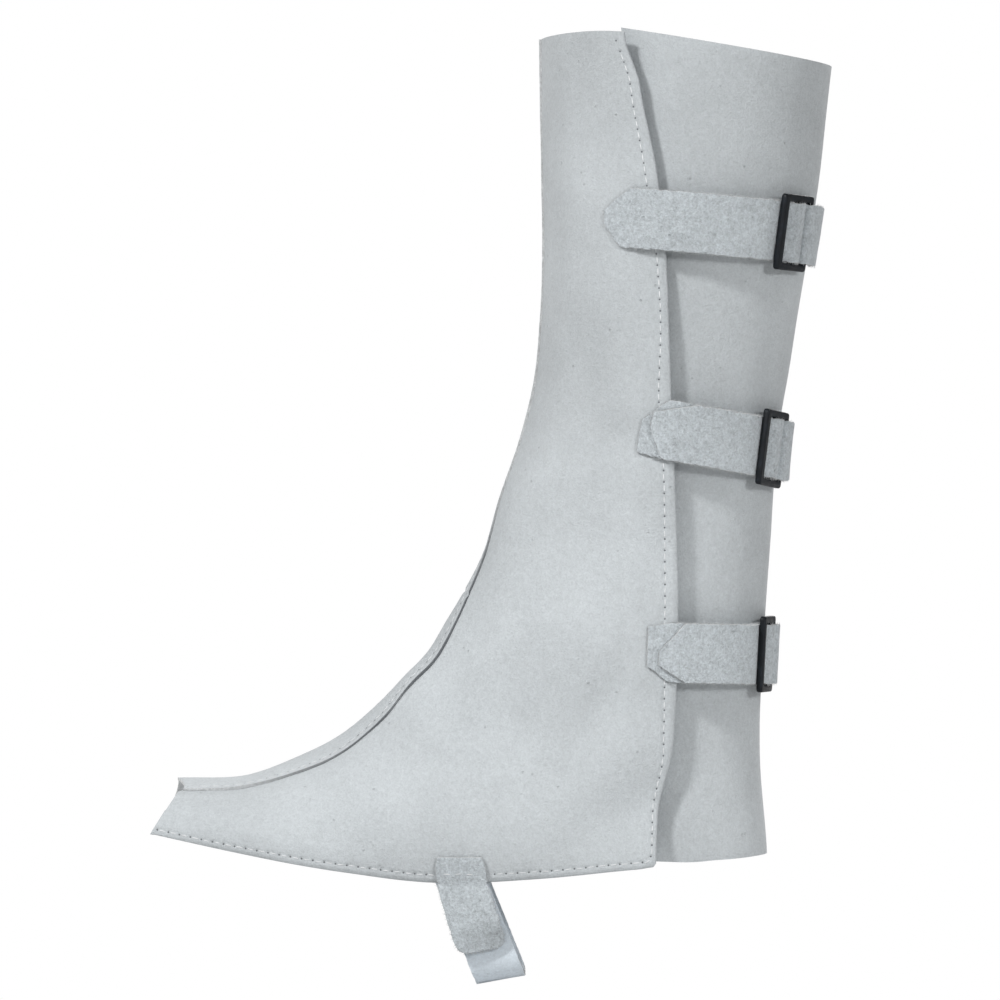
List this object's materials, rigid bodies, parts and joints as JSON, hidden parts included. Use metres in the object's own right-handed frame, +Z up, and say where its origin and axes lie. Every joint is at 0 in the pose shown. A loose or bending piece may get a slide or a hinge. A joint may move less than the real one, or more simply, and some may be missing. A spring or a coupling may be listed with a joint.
{
  "type": "leather knee spat",
  "caption": "Tall suede leg and instep guard, closed up the outer side by straps through flat slides, with a strap that passes under the foot.",
  "frame": {"origin": "on the axis of the leg, level with the lowest point of the hem", "axes": "+Z up along the leg, -Y towards the toe, +X towards the outer side with the straps and slides"},
  "size_m": [0.1177, 0.2892, 0.4028],
  "materials": {
    "suede_panel": "light grey split suede with a short nap",
    "suede_strap": "light grey suede strap",
    "black_slide": "semi-gloss black"
  },
  "bodies": {
    "root": {"outer_panel": "suede_panel", "inner_panel": "suede_panel", "strap_top": "suede_strap", "strap_middle": "suede_strap", "strap_bottom": "suede_strap", "buckle_tab_top": "suede_strap", "buckle_tab_middle": "suede_strap", "buckle_tab_bottom": "suede_strap", "buckle_top": "black_slide", "buckle_middle": "black_slide", "buckle_bottom": "black_slide", "foot_strap_tab": "suede_strap", "foot_strap": "suede_strap"}
  },
  "joints": []
}
